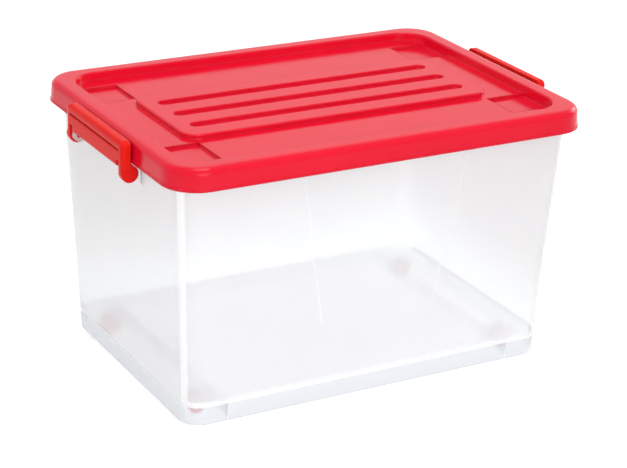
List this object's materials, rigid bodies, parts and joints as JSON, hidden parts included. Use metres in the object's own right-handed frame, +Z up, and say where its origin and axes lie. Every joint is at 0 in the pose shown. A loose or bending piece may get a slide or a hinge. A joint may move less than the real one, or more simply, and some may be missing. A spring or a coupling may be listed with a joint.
{
  "type": "wheeled storage box",
  "caption": "Clear tapered storage box on small hidden wheels, with a ribbed lift-off lid that swinging latch handles hold down.",
  "frame": {"origin": "on the ground under the middle of the box, at the foot of the wheels", "axes": "+X along the long side, towards the right handle; +Y towards the rear long side; +Z up"},
  "size_m": [0.6134, 0.4188, 0.3508],
  "materials": {
    "clear_plastic": "clear moulded polypropylene, smooth",
    "lid_plastic": "red moulded polypropylene, satin gloss",
    "handle_plastic": "red moulded polypropylene, smooth",
    "wheel_plastic": "red moulded plastic",
    "pin_steel": "drawn steel wire"
  },
  "bodies": {
    "tub": {"tub": "clear_plastic"},
    "lid": {"lid": "lid_plastic"},
    "handle_left": {"handle_left": "handle_plastic"},
    "handle_right": {"handle_right": "handle_plastic"},
    "wheel_front_left": {"wheel_front_left": "wheel_plastic", "axle_front_left": "pin_steel"},
    "wheel_front_right": {"wheel_front_right": "wheel_plastic", "axle_front_right": "pin_steel"},
    "wheel_rear_left": {"wheel_rear_left": "wheel_plastic", "axle_rear_left": "pin_steel"},
    "wheel_rear_right": {"wheel_rear_right": "wheel_plastic", "axle_rear_right": "pin_steel"}
  },
  "joints": [
    {"name": "lid_lift", "type": "slide", "parent": "tub", "child": "lid", "axis": [0, 0, 1], "range_m": [0, 0.45]},
    {"name": "handle_left_swing", "type": "hinge", "parent": "tub", "child": "handle_left", "pos_m": [-0.29569, 0, 0.3095], "axis": [0, -1, 0], "range_deg": [0, 165]},
    {"name": "handle_right_swing", "type": "hinge", "parent": "tub", "child": "handle_right", "pos_m": [0.29569, 0, 0.3095], "axis": [0, 1, 0], "range_deg": [0, 165]},
    {"name": "wheel_front_left_spin", "type": "hinge", "parent": "tub", "child": "wheel_front_left", "pos_m": [-0.22855, -0.1288, 0.012], "axis": [0, 1, 0], "continuous": true},
    {"name": "wheel_front_right_spin", "type": "hinge", "parent": "tub", "child": "wheel_front_right", "pos_m": [0.22855, -0.1288, 0.012], "axis": [0, 1, 0], "continuous": true},
    {"name": "wheel_rear_left_spin", "type": "hinge", "parent": "tub", "child": "wheel_rear_left", "pos_m": [-0.22855, 0.1288, 0.012], "axis": [0, 1, 0], "continuous": true},
    {"name": "wheel_rear_right_spin", "type": "hinge", "parent": "tub", "child": "wheel_rear_right", "pos_m": [0.22855, 0.1288, 0.012], "axis": [0, 1, 0], "continuous": true}
  ]
}
